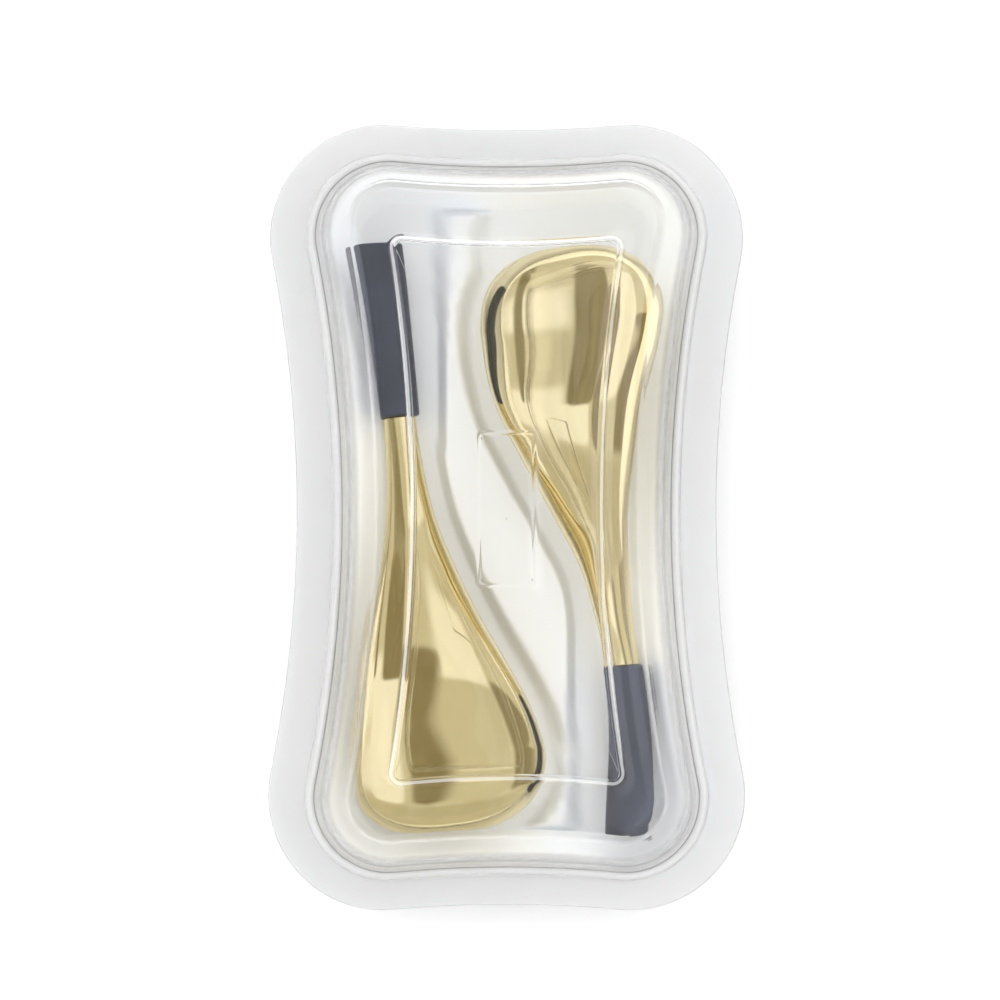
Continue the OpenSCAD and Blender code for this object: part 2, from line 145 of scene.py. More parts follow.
def rounded(points, steps=5, longest=3.0):
    """A polyline of (d, z, radius) with each corner rounded and long stretches divided."""
    pts = [np.array(p[:2], float) for p in points]
    out = [pts[0]]
    for i in range(1, len(pts) - 1):
        before, here, after = pts[i - 1], pts[i], pts[i + 1]
        reach = min(points[i][2], np.linalg.norm(here - before) / 2, np.linalg.norm(after - here) / 2)
        a = here + (before - here) / np.linalg.norm(before - here) * reach
        b = here + (after - here) / np.linalg.norm(after - here) * reach
        for t in np.linspace(0, 1, steps):
            out.append((1 - t) ** 2 * a + 2 * t * (1 - t) * here + t ** 2 * b)
    out.append(pts[-1])
    dense = [out[0]]
    for p in out[1:]:
        gap = np.linalg.norm(p - dense[-1])
        if gap < 1e-6:
            continue
        parts = max(1, int(math.ceil(gap / longest)))
        last = dense[-1]
        dense += [last + (p - last) * (i + 1) / parts for i in range(parts)]
    return np.array(dense)


# ---------------------------------------------------------------- case outlines
SIDE_STEPS, CORNER_STEPS, END_STEPS = 24, 20, 10


def outline(width, length, radius, waist, dent=DENT):
    """Closed outline with curved-in sides and ends and round corners, as arcs."""
    cx, cy = width / 2 - radius, length / 2 - radius
    side_r = (cy ** 2 + waist ** 2) / (2 * waist) - radius
    side_a = math.asin(cy / (side_r + radius))
    end_r = (cx ** 2 + dent ** 2) / (2 * dent) - radius
    end_a = math.asin(cx / (end_r + radius))
    a = np.linspace(0, side_a, SIDE_STEPS, endpoint=False)
    side = np.stack([width / 2 - waist + side_r * (1 - np.cos(a)), side_r * np.sin(a)], 1)
    a = np.linspace(-side_a, math.pi / 2 + end_a, CORNER_STEPS + 1)
    corner = np.stack([cx + radius * np.cos(a), cy + radius * np.sin(a)], 1)
    a = np.linspace(end_a, 0, END_STEPS + 1)[1:]
    end = np.stack([end_r * np.sin(a), length / 2 - dent + end_r * (1 - np.cos(a))], 1)
    quarter = np.concatenate([side, corner, end])
    top = np.concatenate([quarter[:-1], quarter[:0:-1] * [-1, 1]])
    return np.concatenate([top, -top])


def case_outline(inset):
    """Outline of the case at a distance in from the flange's edge, measured across a side."""
    k = inset / SIDE_INSET
    return outline(CASE_W - 2 * k * SIDE_INSET, CASE_L - 2 * k * END_INSET, CORNER_R - k * CORNER_LOSS, WAIST)


def sheet_rings(profile, keys):
    """Rings at a profile's (d, z) points; keys are (d, outline), and between them outlines blend."""
    where = [d for d, _ in keys]
    shapes = np.array([o for _, o in keys])
    rings = []
    for d, z in profile:
        i = int(np.clip(np.searchsorted(where, d) - 1, 0, len(where) - 2))
        t = (d - where[i]) / (where[i + 1] - where[i])
        xy = shapes[i] * (1 - t) + shapes[i + 1] * t
        rings.append(np.column_stack([xy, np.full(len(xy), z)]))
    return rings


WALL_FOOT = FLANGE_W + BEAD_W + 1.4
WALL_TOP = WALL_FOOT + 2
MIDDLE = CASE_W / 2 - WAIST        # distance from the edge to the middle, across the waist
BEAD_IN, BEAD_OUT = FLANGE_W + BEAD_W, FLANGE_W


def bead(z, narrow=0.0, height=BEAD_H):
    """Profile points of the snap bead, from its inner to its outer foot."""
    inner, outer = BEAD_IN - narrow / 2, BEAD_OUT + narrow / 2
    quarter = (inner - outer) / 4
    return [(inner, z, 0.5), (inner - quarter, z + height, 0.7), (outer + quarter, z + height, 0.7),
            (outer, z, 0.5)]


def offset_rings(rings, by):
    """Rings parallel to a skin's rings, at a distance along the normal that around x along gives."""
    grid = np.asarray(rings)
    along = np.gradient(grid, axis=0)
    around = np.roll(grid, -1, 1) - np.roll(grid, 1, 1)
    normal = np.cross(around, along)
    normal /= np.linalg.norm(normal, axis=2, keepdims=True) + 1e-12
    return grid + by * normal


def case_keys():
    """Outlines of the case for sheet_rings, from its edge to its floor."""
    return [(d, case_outline(d)) for d in np.linspace(0, INMOST, 12)]


# ---------------------------------------------------------------- tool shape
WIDTH = [(0, 0), (0.12, 0.015), (0.25, 0.10), (0.37, 0.27), (0.5, 0.5), (0.63, 0.735), (0.74, 0.92), (0.82, 1)]
DEPTH = [(0, 0), (0.12, 0.01), (0.25, 0.09), (0.37, 0.30), (0.5, 0.64), (0.63, 0.93), (0.74, 1), (0.82, 1)]
LEAN = [(0, 0), (0.1, 0.12), (0.3, 0.27), (0.5, 0.3), (0.64, 0.4), (0.78, 0.9), (0.88, 1), (1, 0.75)]
BOW = [(0, 0), (0.07, -0.42), (0.14, -0.82), (0.21, -1), (0.27, -1), (0.36, -0.66), (0.46, -0.36),
       (0.55, 0.14), (0.65, 0.46), (0.74, 0.42), (0.87, -0.18), (1, -0.17)]
FINE = np.linspace(-0.15, 1.15, 1301)


def fair(table, softness):
    """A fair curve near a table's points: the design's cubic, evened out so that reflections flow."""
    xs, ys = np.array(table, float).T
    slopes = np.empty(len(xs))
    slopes[1:-1] = (ys[2:] - ys[:-2]) / (xs[2:] - xs[:-2])
    slopes[0] = (ys[1] - ys[0]) / (xs[1] - xs[0])
    slopes[-1] = (ys[-1] - ys[-2]) / (xs[-1] - xs[-2])
    x = np.clip(FINE, xs[0], xs[-1])
    i = np.clip(np.searchsorted(xs, x, side="right") - 1, 0, len(xs) - 2)
    h = xs[i + 1] - xs[i]
    t = (x - xs[i]) / h
    y = ((2 * t ** 3 - 3 * t ** 2 + 1) * ys[i] + (t ** 3 - 2 * t ** 2 + t) * h * slopes[i]
         + (3 * t ** 2 - 2 * t ** 3) * ys[i + 1] + (t ** 3 - t ** 2) * h * slopes[i + 1])
    y = y + (FINE - x) * np.where(FINE < xs[0], slopes[0], np.where(FINE > xs[-1], slopes[-1], 0))
    offsets = np.arange(-60, 61) * (FINE[1] - FINE[0])
    weight = np.exp(-(offsets / softness) ** 2 / 2)
    return np.convolve(y, weight / weight.sum(), mode="same")


WIDTH_F, DEPTH_F = fair(WIDTH, 0.02), fair(DEPTH, 0.02)
LEAN_F, BOW_F = fair(LEAN, 0.014), fair(BOW, 0.014)


def centre(s):
    """Centre line of a tool at a distance from its grip's end."""
    share = s / TOOL_L
    return np.array([s, LEAN_MM * np.interp(share, FINE, LEAN_F), BOW_MM * np.interp(share, FINE, BOW_F)])


def blade_size(curve, full, share, fade):
    """Half width or half thickness of the blade, at a share of its length."""
    neck = NECK_D / 2
    return (neck + (full / 2 - neck) * np.interp(min(share, ROUND_FROM), FINE, curve)) * fade


def section(mid, half_w, half_t, count=96, power=SECTION_POWER, turn=0.0):
    """Rounded cross-section of a tool: a superellipse, turned by some degrees."""
    a = np.linspace(0, 2 * math.pi, count, endpoint=False)
    y = half_w * np.sign(np.cos(a)) * np.abs(np.cos(a)) ** (2 / power)
    z = half_t * np.sign(np.sin(a)) * np.abs(np.sin(a)) ** (2 / power)
    c, s = math.cos(math.radians(turn)), math.sin(math.radians(turn))
    return np.column_stack([np.full(count, mid[0]), mid[1] + y * c - z * s, mid[2] + y * s + z * c])


def head_rings():
    """Rings of the polished head and neck, and the tip that closes them."""
    rings = []
    body_end = GRIP_L + (TOOL_L - GRIP_L) * ROUND_FROM
    for s in np.linspace(GRIP_L - SEAM, body_end, 110):
        share = max((s - GRIP_L) / (TOOL_L - GRIP_L), 0)
        rings.append(section(centre(s), blade_size(WIDTH_F, HEAD_W, share, 1),
                             blade_size(DEPTH_F, HEAD_T, share, 1)))
    for a in np.radians(np.linspace(2.5, 87.5, 35)):
        x = math.sin(a)
        fade = (1 - x ** ROUND_POWER) ** (1 / ROUND_POWER)
        s = body_end + (TOOL_L - body_end) * x
        share = (s - GRIP_L) / (TOOL_L - GRIP_L)
        rings.append(section(centre(s), blade_size(WIDTH_F, HEAD_W, share, fade),
                             blade_size(DEPTH_F, HEAD_T, share, fade)))
    return rings, centre(TOOL_L)


def grip_section(s, scale=1.0):
    """Outline of the grip, from its wide twisted end to its round one."""
    share = min(max(s, 0) / GRIP_L, 1) ** GRIP_FADE
    half_w = (GRIP_END_W + (GRIP_D - GRIP_END_W) * share) / 2
    half_t = (GRIP_END_T + (GRIP_D - GRIP_END_T) * share) / 2
    return section(centre(s), half_w * scale, half_t * scale, 72, SECTION_POWER, -GRIP_TWIST * (1 - share))


def bore_section(s, radius):
    return section(centre(s), radius, radius, 72, 2.0)


def place_points(points, side, height):
    """Turns points from a tool's own frame into the row frame, with its axis at a height."""
    x, y, heading, roll, pitch = PLACES[side]
    p = np.asarray(points, float)
    r, t, h = (math.radians(v) for v in (roll, pitch, heading))
    u = p[:, 1] * math.cos(r) - p[:, 2] * math.sin(r)
    n = p[:, 1] * math.sin(r) + p[:, 2] * math.cos(r)
    s = p[:, 0] * math.cos(t) - n * math.sin(t)
    z = p[:, 0] * math.sin(t) + n * math.cos(t)
    return np.column_stack([x + s * math.cos(h) - u * math.sin(h), y + s * math.sin(h) + u * math.cos(h),
                            z + height])


# ---------------------------------------------------------------- materials
def new_material(name):
    mat = bpy.data.materials.new(name)
    mat.use_nodes = True
    return mat, mat.node_tree, mat.node_tree.nodes["Principled BSDF"]


def add(tree, kind, **values):
    node = tree.nodes.new(kind)
    for key, value in values.items():
        setattr(node, key, value)
    return node


def noise(tree, scale, detail=3.0, stretch=(1, 1, 1)):
    """Noise in the object's own coordinates, in features per metre."""
    coords = add(tree, "ShaderNodeTexCoord")
    mapping = add(tree, "ShaderNodeMapping")
    mapping.inputs["Scale"].default_value = stretch
    tex = add(tree, "ShaderNodeTexNoise")
    tex.inputs["Scale"].default_value = scale
    tex.inputs["Detail"].default_value = detail
    tree.links.new(coords.outputs["Object"], mapping.inputs["Vector"])
    tree.links.new(mapping.outputs["Vector"], tex.inputs["Vector"])
    return tex.outputs["Fac"]


def ramp(tree, source, stops):
    """Colour ramp over a value; a stop is a place with a grey or a colour."""
    node = add(tree, "ShaderNodeValToRGB")
    elements = node.color_ramp.elements
    while len(elements) < len(stops):
        elements.new(0.5)
    for element, (place, value) in zip(elements, stops):
        element.position = place
        element.color = (value, value, value, 1) if isinstance(value, float) else (*value, 1)
    tree.links.new(source, node.inputs["Fac"])
    return node.outputs["Color"]


def bump(tree, source, distance, strength=1.0):
    node = add(tree, "ShaderNodeBump")
    node.inputs["Distance"].default_value = distance
    node.inputs["Strength"].default_value = strength
    tree.links.new(source, node.inputs["Height"])
    return node.outputs["Normal"]


def gold_material():
    mat, tree, bsdf = new_material("polished_gold")
    bsdf.inputs["Metallic"].default_value = 1.0
    colour = ramp(tree, noise(tree, 18, 4), [(0.3, (0.80, 0.685, 0.40)), (0.7, (0.86, 0.75, 0.46))])
    tree.links.new(colour, bsdf.inputs["Base Color"])
    smear = ramp(tree, noise(tree, 60, 6, (1, 0.35, 1)), [(0.35, 0.045), (0.75, 0.09)])
    tree.links.new(smear, bsdf.inputs["Roughness"])
    tree.links.new(bump(tree, noise(tree, 90, 2), 0.00002, 0.4), bsdf.inputs["Normal"])
    return mat


def rubber_material(name, dark, light):
    mat, tree, bsdf = new_material(name)
    colour = ramp(tree, noise(tree, 45, 5), [(0.3, dark), (0.75, light)])
    tree.links.new(colour, bsdf.inputs["Base Color"])
    rough = ramp(tree, noise(tree, 300, 3), [(0.3, 0.46), (0.7, 0.62)])
    tree.links.new(rough, bsdf.inputs["Roughness"])
    bsdf.inputs["Specular IOR Level"].default_value = 0.45
    tree.links.new(bump(tree, noise(tree, 2600, 2), 0.00006, 0.5), bsdf.inputs["Normal"])
    return mat


def steel_material():
    mat, tree, bsdf = new_material("turned_steel")
    bsdf.inputs["Metallic"].default_value = 1.0
    colour = ramp(tree, noise(tree, 30, 3), [(0.3, (0.52, 0.53, 0.55)), (0.7, (0.66, 0.67, 0.69))])
    tree.links.new(colour, bsdf.inputs["Base Color"])
    rough = ramp(tree, noise(tree, 400, 3, (1, 0.05, 1)), [(0.3, 0.2), (0.7, 0.38)])
    tree.links.new(rough, bsdf.inputs["Roughness"])
    return mat


def gel_material():
    mat, tree, bsdf = new_material("cooling_gel")
    colour = ramp(tree, noise(tree, 60, 4), [(0.3, (0.42, 0.62, 0.72)), (0.7, (0.62, 0.78, 0.85))])
    tree.links.new(colour, bsdf.inputs["Base Color"])
    rough = ramp(tree, noise(tree, 120, 2), [(0.3, 0.12), (0.7, 0.25)])
    tree.links.new(rough, bsdf.inputs["Roughness"])
    return mat


def by_height(tree, low, high):
    """0 below a height of the object, 1 above another, in metres."""
    coords = add(tree, "ShaderNodeTexCoord")
    split = add(tree, "ShaderNodeSeparateXYZ")
    tree.links.new(coords.outputs["Object"], split.inputs["Vector"])
    node = add(tree, "ShaderNodeMapRange", interpolation_type="SMOOTHSTEP")
    node.inputs["From Min"].default_value = low
    node.inputs["From Max"].default_value = high
    tree.links.new(split.outputs["Z"], node.inputs["Value"])
    return node.outputs["Result"]


def clear_material(name, wall_clarity, top_clarity):
    """Clear moulded sheet: a little wavy, and hazier at its flange and wall than on its drawn top."""
    mat, tree, bsdf = new_material(name)
    colour = ramp(tree, noise(tree, 25, 3), [(0.3, (0.975, 0.98, 0.985)), (0.7, (0.99, 0.992, 0.995))])
    tree.links.new(colour, bsdf.inputs["Base Color"])
    haze = ramp(tree, by_height(tree, (LID_Z + 1.5) * MM, (LID_Z + 16) * MM), [(0.0, 0.1), (1.0, 0.02)])
    grain = ramp(tree, noise(tree, 40, 4), [(0.3, 0.0), (0.7, 0.05)])
    total = add(tree, "ShaderNodeMath", operation="ADD")
    tree.links.new(haze, total.inputs[0])
    tree.links.new(grain, total.inputs[1])
    tree.links.new(total.outputs[0], bsdf.inputs["Roughness"])
    bsdf.inputs["IOR"].default_value = PLASTIC_IOR
    clarity = ramp(tree, by_height(tree, (LID_Z + 7) * MM, (LID_Z + 15) * MM),
                   [(0.0, wall_clarity), (1.0, top_clarity)])
    tree.links.new(clarity, bsdf.inputs["Transmission Weight"])
    tree.links.new(bump(tree, noise(tree, 35, 3), 0.0002, 0.2), bsdf.inputs["Normal"])
    return mat


def frosted_material(name, floor, flange, clarity):
    """Milky moulded sheet, with one painted tone at its floor and another at its flange: painted light and
    shade, since both are the same plastic.
    """
    mat, tree, bsdf = new_material(name)
    # painted light and shade: the floor and flange tones stand in for light, not for two plastics
    colour = ramp(tree, by_height(tree, PAINTED_LIGHT_LOW_Z * MM, PAINTED_LIGHT_HIGH_Z * MM), [(0.0, floor), (1.0, flange)])
    cloud = ramp(tree, noise(tree, 20, 4), [(0.3, 0.97), (0.7, 1.0)])
    mix = add(tree, "ShaderNodeMix", data_type="RGBA", blend_type="MULTIPLY")
    mix.inputs[0].default_value = 1.0
    tree.links.new(colour, mix.inputs[6])
    tree.links.new(cloud, mix.inputs[7])
    tree.links.new(mix.outputs[2], bsdf.inputs["Base Color"])
    rough = ramp(tree, noise(tree, 500, 3), [(0.3, 0.38), (0.7, 0.55)])
    tree.links.new(rough, bsdf.inputs["Roughness"])
    bsdf.inputs["IOR"].default_value = PLASTIC_IOR
    bsdf.inputs["Transmission Weight"].default_value = clarity
    bsdf.inputs["Subsurface Weight"].default_value = 0.5
    bsdf.inputs["Subsurface Radius"].default_value = (0.003, 0.003, 0.003)
    bsdf.inputs["Subsurface Scale"].default_value = 1.0
    tree.links.new(bump(tree, noise(tree, 1800, 2), 0.00004, 0.4), bsdf.inputs["Normal"])
    return mat


MATS = {
    "gold": gold_material(),
    "grip_rubber": rubber_material("grip_rubber", (0.028, 0.035, 0.062), (0.040, 0.050, 0.086)),
    "plug_rubber": rubber_material("plug_rubber", (0.012, 0.012, 0.014), (0.03, 0.03, 0.033)),
    "seal_rubber": rubber_material("seal_rubber", (0.20, 0.035, 0.02), (0.30, 0.06, 0.035)),
    "steel": steel_material(),
    "cooling_gel": gel_material(),
    "clear_plastic": clear_material("clear_plastic", 0.86, 1.0),
    # painted highlight: a whiter, less clear copy of the lid's plastic for the panel's sloped edge
    "painted_edge_highlight": clear_material("painted_edge_highlight", 0.7, 0.7),
    # tray's top side: floor painted near white and flange grey, painted light against the shade under the lid
    "frosted_plastic": frosted_material("frosted_plastic", (0.915, 0.945, 0.99), (0.59, 0.59, 0.595), 0.05),
    # tray's outer side: a darker copy of the tray's plastic, painted shade
    "frosted_underside_painted_shade": frosted_material("frosted_underside_painted_shade", (0.50, 0.505, 0.515),
                                          (0.55, 0.555, 0.565), 0.15),
}


def finish_piece(obj, body, slot, *nodes):
    """Gives a piece its material, its body, and the CAD nodes that it takes the place of."""
    if not obj.data.materials:
        obj.data.materials.append(MATS[slot])
    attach(obj, body)
    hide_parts(*nodes)
    return obj


# ---------------------------------------------------------------- tools
def tool_offset(side):
    """Height of a tool's own axis, from the frame's lowest point of its shells and grip."""
    low = min(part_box(f"{side}_{n}")[0][2] for n in ("face_shell", "back_shell", "grip")) / MM
    rings, _ = head_rings()
    points = np.concatenate([np.concatenate(rings), *[grip_section(s) for s in np.linspace(0, GRIP_L, 30)]])
    return low - place_points(points, side, 0.0)[:, 2].min()


def build_tool(side):
    """Head, grip sleeve and grip plug of one tool."""
    body = f"{side}_tool"
    lift = tool_offset(side)
    rings, tip = head_rings()
    inside = list(offset_rings(rings, -SHELL_T))[:-6]
    rows = inside[::-1] + rings
    points, faces = loft(rows, inside[-1].mean(0) + [SHELL_T, 0, 0], tip)
    head = mesh_object(f"{side}_polished_head", place_points(points, side, lift), faces)
    finish_piece(head, body, "gold", f"{side}_face_shell", f"{side}_back_shell")

    end = [(0.0, 0.62), (0.0, 0.88), (0.12, 0.955), (0.4, 0.99), (GRIP_EDGE, 1.0)]
    rows = [grip_section(s, scale) for s, scale in end]
    rows += [grip_section(s) for s in np.linspace(GRIP_EDGE, GRIP_L - GRIP_EDGE, 42)[1:]]
    rows += [grip_section(GRIP_L - 0.4, 0.985), grip_section(GRIP_L - 0.1, 0.95), grip_section(GRIP_L, 0.9)]
    bore = [(GRIP_L, BORE_R + 1.0), (GRIP_L - 0.3, BORE_R), (GRIP_L - 4, BORE_R)]
    rows += [bore_section(s, r) for s, r in bore]
    rows += [bore_section(s, BORE_R) for s in np.linspace(GRIP_L - 8, 0.6, 12)]
    rows += [bore_section(0.0, BORE_R + 0.15)]
    points, faces = loft(rows + [rows[0]])
    grip = mesh_object(f"{side}_grip_sleeve", place_points(points, side, lift), faces)
    finish_piece(grip, body, "grip_rubber", f"{side}_grip")

    # the plug's face has a ring groove; its far end is chamfered
    turned = [(0.35, 1.0), (0.35, 1.9), (0.75, 2.2), (0.75, 2.6), (0.35, 2.9), (0.3, PLUG_R - 0.3),
              (0.55, PLUG_R - 0.02), (2.0, PLUG_R), (PLUG_L - 0.4, PLUG_R), (PLUG_L, PLUG_R - 0.3)]
    points, faces = loft([bore_section(s, r) for s, r in turned], centre(0.4), centre(PLUG_L))
    plug = mesh_object(f"{side}_grip_plug", place_points(points, side, lift), faces)
    finish_piece(plug, body, "grip_rubber", f"{side}_end_plug")


# ---------------------------------------------------------------- case
def tool_plan(side):
    """Outline of a tool seen from above, in the row frame."""
    rings, _ = head_rings()
    rows = [grip_section(s) for s in np.linspace(0, GRIP_L - 2, 14)] + rings[::4]
    a = math.radians(PLACES[side][2] + 90)
    left, right = [], []
    for row in rows:
        p = place_points(row, side, 0)[:, :2]
        across = p[:, 0] * math.cos(a) + p[:, 1] * math.sin(a)
        left.append(p[across.argmax()])
        right.append(p[across.argmin()])
    return np.array(left + right[::-1])


def distance(points, polygon):
    """Distance from points to a closed polygon, negative inside it."""
    nearest = np.full(len(points), 1e9)
    inside = np.zeros(len(points), bool)
    for a, b in zip(polygon, np.roll(polygon, -1, axis=0)):
        ab = b - a
        t = np.clip(((points - a) @ ab) / max(ab @ ab, 1e-9), 0, 1)
        nearest = np.minimum(nearest, np.linalg.norm(points - a - t[:, None] * ab, axis=1))
        crosses = (a[1] > points[:, 1]) != (b[1] > points[:, 1])
        with np.errstate(divide="ignore", invalid="ignore"):
            x = (b[0] - a[0]) * (points[:, 1] - a[1]) / (b[1] - a[1]) + a[0]
        inside ^= crosses & (points[:, 0] < x)
    return np.where(inside, -nearest, nearest)


def smooth_min(values, soft):
    """The smallest of several fields, blended where they are close."""
    stack = np.stack(values)
    low = stack.min(0)
    return low - soft * np.log(np.exp(-(stack - low) / soft).sum(0))


def box_distance(xy, low, high, radius=0.0):
    """Distance to a rounded rectangle, negative inside it."""
    centre_xy, half = (np.array(low) + high) / 2, (np.array(high) - low) / 2
    q = np.abs(xy - centre_xy) - half + radius
    return np.linalg.norm(np.maximum(q, 0), axis=1) + np.minimum(q.max(1), 0) - radius


def land_height(xy):
    """Height that the land between the two pockets adds to the tray's floor."""
    edges = []
    for side, turn in (("left", -1), ("right", 1)):
        edges.append(distance(xy, tool_plan(side)) - POCKET_GAP)
        p = xy * turn
        edges.append(box_distance(p, (ROOMS_APART / 2, -FLOOR_L), (FLOOR_W, -ROOM_FROM)))
        edges.append(box_distance(p, (-HEAD_ROOM, FLOOR_L / 2 - ROOM_END - HEAD_ROOM_SHARE * HEAD_W),
                                  (FLOOR_W, FLOOR_L / 2 - ROOM_END), ROOM_ROUND))
    t = np.clip((smooth_min(edges, 0.8) + LAND_WALL * 0.3) / LAND_WALL, 0, 1)
    return (LAND_H - SHEET) * t * t * (3 - 2 * t)


def build_tray():
    """Tray as one closed skin: floor, wall and flange above, then the same again one sheet below."""
    keys = case_keys() + [(MIDDLE, case_outline(INMOST) * 0.004)]
    low = FLANGE_Z - SHEET
    knee, toe, brink = KNEE * SIDE_INSET, TOE * SIDE_INSET, FLOOR_D + 0.8
    floor = [(d, SHEET) for d in np.linspace(MIDDLE, brink, 120)]
    under_floor = [(d, 0.0) for d in np.linspace(brink, MIDDLE, 120)]
    upper = rounded([(brink, SHEET, 0), (FLOOR_D - 1, SHEET, 2.5), (toe - 0.5, SHEET + 1.6, 1.5),
                     (knee, 7.5, 4), (WALL_TOP, FLANGE_Z - 3, 3), (WALL_FOOT, FLANGE_Z, 0.9)]
                    + bead(FLANGE_Z) + [(LIP_W, FLANGE_Z, LIP_R), (0, FLANGE_Z - LIP_H, 0)])
    lower = rounded([(0, low + LIP_H, 0), (LIP_W, low, LIP_R)] + bead(low, SHEET)[::-1]
                    + [(WALL_FOOT - SHEET, low, 0.5), (WALL_TOP - SHEET, low - 3, 3), (knee - SHEET, 6.5, 4),
                       (toe - SHEET, 0.9, 1.5), (FLOOR_D - 1, 0, 1), (brink, 0, 0)])
    rings = sheet_rings(np.concatenate([floor, upper[1:], lower, under_floor[1:]]), keys)
    points, faces = loft(rings, (0, 0, SHEET), (0, 0, 0))
    points = np.array(points)
    low_part = points[:, 2] < SHEET + 0.01
    depth = -distance(points[low_part][:, :2], case_outline(FLOOR_D - 1))
    fade = np.clip(depth / 3, 0, 1)
    points[low_part, 2] += land_height(points[low_part][:, :2]) * fade * fade * (3 - 2 * fade)
    tray = mesh_object("frosted_tray", points, [f[::-1] for f in faces])
    # top side: floor painted lighter than flange (painted light); underside: a darker copy of the same plastic
    # (painted shade)
    tray.data.materials.append(MATS["frosted_plastic"])
    tray.data.materials.append(MATS["frosted_underside_painted_shade"])
    for polygon in tray.data.polygons[(len(floor) + len(upper)) * len(rings[0]):]:
        polygon.material_index = 1
    return finish_piece(tray, "tray", "frosted_plastic", "case_tray")


def build_lid():
    """Lid as one closed skin: middle to flange above, then back below, one sheet lower."""
    panel_d = MIDDLE - (PANEL_W / 2 - PANEL_WAIST)
    plaque_d = MIDDLE - PLAQUE_W / 2

    def panel(grow):
        return outline(PANEL_W + 2 * grow, PANEL_L + 2 * grow, PANEL_R + grow, PANEL_WAIST)

    def plaque(grow):
        return outline(PLAQUE_W + 2 * grow, PLAQUE_L + 2 * grow, PLAQUE_R + grow, 0.02, 0.02)

    keys = case_keys() + [(panel_d - PANEL_SLOPE - 0.6, panel(PANEL_SLOPE + 0.6)), (panel_d, panel(0)),
                          (panel_d + 0.8, panel(-0.8)), (plaque_d - 0.6, plaque(0.6)), (plaque_d, plaque(0)),
                          (plaque_d + 0.7, plaque(-0.7)), (MIDDLE, plaque(-0.7) * 0.01)]
    top = PLATEAU_Z
    panel_top = top + PANEL_H
    flange_top = LID_Z + SHEET
    edge_z = lid_high[2]

    skin = rounded([(MIDDLE - 0.3, edge_z, 0), (plaque_d + 0.7, edge_z, 0.5), (plaque_d - 0.5, panel_top, 0.5),
                    (panel_d + 0.5, panel_top, 0.7), (panel_d - PANEL_SLOPE, top, 0.8), (FLOOR_D, top, 3.0),
                    (TOE * SIDE_INSET, top - 1.6, 2.0), (WALL_TOP, LID_Z + SHOULDER_H, 5.0),
                    (WALL_FOOT, flange_top, 0.9), (BEAD_IN + 0.2, flange_top, 0)], longest=2.0)
    brim = rounded([(BEAD_IN + 0.2, flange_top, 0)] + bead(flange_top)
                   + [(LIP_W, flange_top, LIP_R), (0, flange_top - LIP_H, 0)])
    under = rounded([(0, LID_Z + LIP_H, 0), (LIP_W, LID_Z, LIP_R)] + bead(LID_Z, -0.6)[::-1]
                    + [(BEAD_IN + 0.4, LID_Z, 0)])
    upper = sheet_rings(skin, keys)
    rings = upper + sheet_rings(np.concatenate([brim[1:], under]), keys)
    rings += list(offset_rings(upper, SHEET)[::-1][1:])
    points, faces = loft(rings, (0, 0, edge_z), (0, 0, edge_z - SHEET))
    lid = mesh_object("clear_lid", points, [f[::-1] for f in faces])
    # the sloped edge of the panel gets a whiter, less clear copy of the plastic: a painted highlight for the
    # light that the slope catches
    edge = [k for k, (d, _) in enumerate(skin) if panel_d - 0.9 < d < panel_d + 0.1]
    around = len(rings[0])
    lid.data.materials.append(MATS["clear_plastic"])
    lid.data.materials.append(MATS["painted_edge_highlight"])
    for polygon in lid.data.polygons[edge[0] * around:edge[-1] * around]:
        polygon.material_index = 1
    return finish_piece(lid, "lid", "clear_plastic", "case_lid")


# ---------------------------------------------------------------- stage
def build_stage():
    """A wide pale floor just under the case."""
    half = 6000.0
    points = [(-half, -half, 0), (half, -half, 0), (half, half, 0), (-half, half, 0)]
    floor = mesh_object("floor", points, [(0, 1, 2, 3)], smooth=False)
    floor.location.z = cad_low[2] - 0.0002
    mat, tree, bsdf = new_material("floor")
    bsdf.inputs["Base Color"].default_value = (0.9, 0.9, 0.9, 1)
    bsdf.inputs["Roughness"].default_value = 0.9
    bsdf.inputs["Specular IOR Level"].default_value = 0.1
    floor.data.materials.append(mat)


STUDIO = 1.55                      # radiance of the studio as matt surfaces see it
SHADE = 0.15                       # how much brighter it is from the far end than from the middle
SIDES = (0.80, 0.77, 0.67)         # what polished metal sees between the cards
DARK, BRIGHT, MIDDLING = (0.31, 0.27, 0.165), (1.25, 1.25, 1.3), (0.66, 0.63, 0.52)
# soft cards that polished metal sees: x, y, half sizes and softness as mirror tilts, then the tone
CARDS = [
    (0.0, -0.95, 2.0, 0.6, 0.05, MIDDLING),
    (-0.75, -0.04, 0.26, 0.22, 0.05, BRIGHT),
    (-0.40, -0.17, 0.22, 0.15, 0.02, BRIGHT),
    (0.20, 0.22, 0.20, 0.28, 0.03, BRIGHT),
    (-0.295, 0.26, 0.165, 0.30, 0.02, DARK),
    (-0.055, -0.06, 0.07, 0.27, 0.02, DARK),
    (0.86, -0.14, 0.44, 0.18, 0.03, DARK),
    (-0.75, 0.65, 0.06, 0.63, 0.02, DARK),
]


def maths(tree, operation, *values):
    """A Math node; numbers and sockets are both taken."""
    node = add(tree, "ShaderNodeMath", operation=operation)
    for socket, value in zip(node.inputs, values):
        if isinstance(value, (int, float)):
            socket.default_value = value
        else:
            tree.links.new(value, socket)
    return node.outputs[0]


